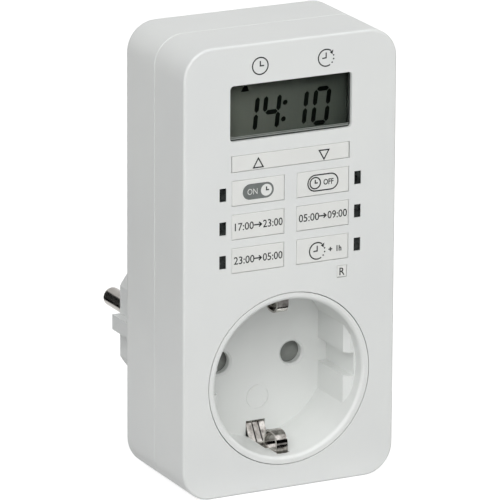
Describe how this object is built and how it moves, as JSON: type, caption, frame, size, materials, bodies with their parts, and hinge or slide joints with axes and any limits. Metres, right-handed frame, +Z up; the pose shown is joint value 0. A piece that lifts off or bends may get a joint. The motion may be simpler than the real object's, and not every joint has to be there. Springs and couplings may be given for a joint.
{
  "type": "plug-in timer",
  "caption": "Plug-in digital timer: upright white case with display window, push keys and earthed socket in front, earthed plug with two round pins on the back.",
  "frame": {"origin": "centre of the whole part's outline, from the front face to the pin tips, on the surface that it stands on", "axes": "+Z up along the case, +Y from the front face towards the plug pins, +X to the right seen from the front"},
  "size_m": [0.055, 0.0776, 0.1089],
  "materials": {
    "front_abs": "moulded white ABS, satin",
    "rear_abs": "moulded white ABS, satin",
    "socket_thermoplastic": "moulded white heat-resistant thermoplastic, satin",
    "nickel_plated_bronze": "nickel-plated spring bronze, bright",
    "nickel_plated_brass": "nickel-plated brass strip, bright",
    "nickel_plated_pin": "nickel-plated turned brass, bright",
    "shutter_nylon": "natural grey nylon",
    "spring_steel": "drawn spring wire",
    "inner_thermoplastic": "moulded off-white thermoplastic",
    "bronze": "rolled phosphor bronze",
    "bare_brass": "stamped brass",
    "window_acrylic": "clear acrylic window, polished",
    "lcd_glass": "display glass, dark green grey",
    "connector_silicone": "layered silicone connector",
    "key_abs": "moulded white ABS keys, satin",
    "mat_silicone": "moulded grey silicone",
    "carbon_rubber": "carbon-filled rubber",
    "smoked_acrylic": "smoked acrylic light guide",
    "led_resin": "red tinted resin",
    "board_laminate": "glass-epoxy laminate with solder mask",
    "chip_epoxy": "black moulding epoxy",
    "crystal_can": "drawn metal can",
    "header_plastic": "black header moulding",
    "relay_case": "blue relay case",
    "film_capacitor_case": "yellow film capacitor case",
    "capacitor_sleeve": "shrunk vinyl sleeve",
    "battery_can": "nickel-plated steel can",
    "resistor_body": "ceramic lacquer",
    "zinc_plated_steel": "zinc-plated steel"
  },
  "bodies": {
    "case": {"front_cover": "front_abs", "rear_housing": "rear_abs", "plug_body": "rear_abs", "socket_insert": "socket_thermoplastic", "earth_clip_lower": "nickel_plated_bronze", "earth_clip_upper": "nickel_plated_bronze", "plug_earth_strip_lower": "nickel_plated_brass", "plug_earth_strip_upper": "nickel_plated_brass", "earth_bridge": "nickel_plated_brass", "shutter_spring": "spring_steel", "contact_carrier": "inner_thermoplastic", "live_contact": "bronze", "neutral_contact": "bronze", "live_pin": "nickel_plated_pin", "neutral_pin": "nickel_plated_pin", "pin_carrier": "inner_thermoplastic", "live_inlet_bar": "bare_brass", "switched_live_bar": "bare_brass", "neutral_bar": "bare_brass", "lcd_window": "window_acrylic", "lcd_panel": "lcd_glass", "lcd_frame": "inner_thermoplastic", "lcd_connectors": "connector_silicone", "keypad_mat": "mat_silicone", "contact_pills": "carbon_rubber", "light_guide_right": "smoked_acrylic", "light_guide_left": "smoked_acrylic", "indicator_leds": "led_resin", "control_board": "board_laminate", "clock_chip": "chip_epoxy", "crystal": "crystal_can", "board_header": "header_plastic", "power_board": "board_laminate", "relay": "relay_case", "mains_capacitor": "film_capacitor_case", "bulk_capacitor": "capacitor_sleeve", "backup_battery": "battery_can", "fuse_resistor": "resistor_body", "diodes": "chip_epoxy", "case_screws": "zinc_plated_steel", "insert_screws": "zinc_plated_steel", "control_board_screws": "zinc_plated_steel", "power_board_screws": "zinc_plated_steel", "carrier_screws": "zinc_plated_steel", "pin_carrier_screw": "zinc_plated_steel"},
    "on_key_body": {"on_key": "key_abs"},
    "off_key_body": {"off_key": "key_abs"},
    "evening_key_body": {"evening_key": "key_abs"},
    "morning_key_body": {"morning_key": "key_abs"},
    "night_key_body": {"night_key": "key_abs"},
    "hour_key_body": {"hour_key": "key_abs"},
    "reset_key_body": {"reset_key": "key_abs"},
    "time_rocker_key_body": {"time_rocker_key": "key_abs"},
    "shutter_body": {"safety_shutter": "shutter_nylon"}
  },
  "joints": [
    {"name": "on_press", "type": "slide", "parent": "case", "child": "on_key_body", "axis": [0, 1, 0], "range_m": [0, 0.0005], "stiffness_N_per_m": 800, "springref_m": -0.0003},
    {"name": "off_press", "type": "slide", "parent": "case", "child": "off_key_body", "axis": [0, 1, 0], "range_m": [0, 0.0005], "stiffness_N_per_m": 800, "springref_m": -0.0003},
    {"name": "evening_press", "type": "slide", "parent": "case", "child": "evening_key_body", "axis": [0, 1, 0], "range_m": [0, 0.0005], "stiffness_N_per_m": 800, "springref_m": -0.0003},
    {"name": "morning_press", "type": "slide", "parent": "case", "child": "morning_key_body", "axis": [0, 1, 0], "range_m": [0, 0.0005], "stiffness_N_per_m": 800, "springref_m": -0.0003},
    {"name": "night_press", "type": "slide", "parent": "case", "child": "night_key_body", "axis": [0, 1, 0], "range_m": [0, 0.0005], "stiffness_N_per_m": 800, "springref_m": -0.0003},
    {"name": "hour_press", "type": "slide", "parent": "case", "child": "hour_key_body", "axis": [0, 1, 0], "range_m": [0, 0.0005], "stiffness_N_per_m": 800, "springref_m": -0.0003},
    {"name": "reset_press", "type": "slide", "parent": "case", "child": "reset_key_body", "axis": [0, 1, 0], "range_m": [0, 0.0005], "stiffness_N_per_m": 500, "springref_m": -0.0003},
    {"name": "time_rock", "type": "hinge", "parent": "case", "child": "time_rocker_key_body", "pos_m": [0, -0.0351, 0.08064], "axis": [0, 0, 1], "range_deg": [-1.9, 1.9], "stiffness_Nm_per_rad": 0.1},
    {"name": "shutter_slide", "type": "slide", "parent": "case", "child": "shutter_body", "axis": [0, 0, -1], "range_m": [0, 0.0064], "stiffness_N_per_m": 120, "springref_m": -0.004, "deforming": ["shutter_spring"]}
  ]
}
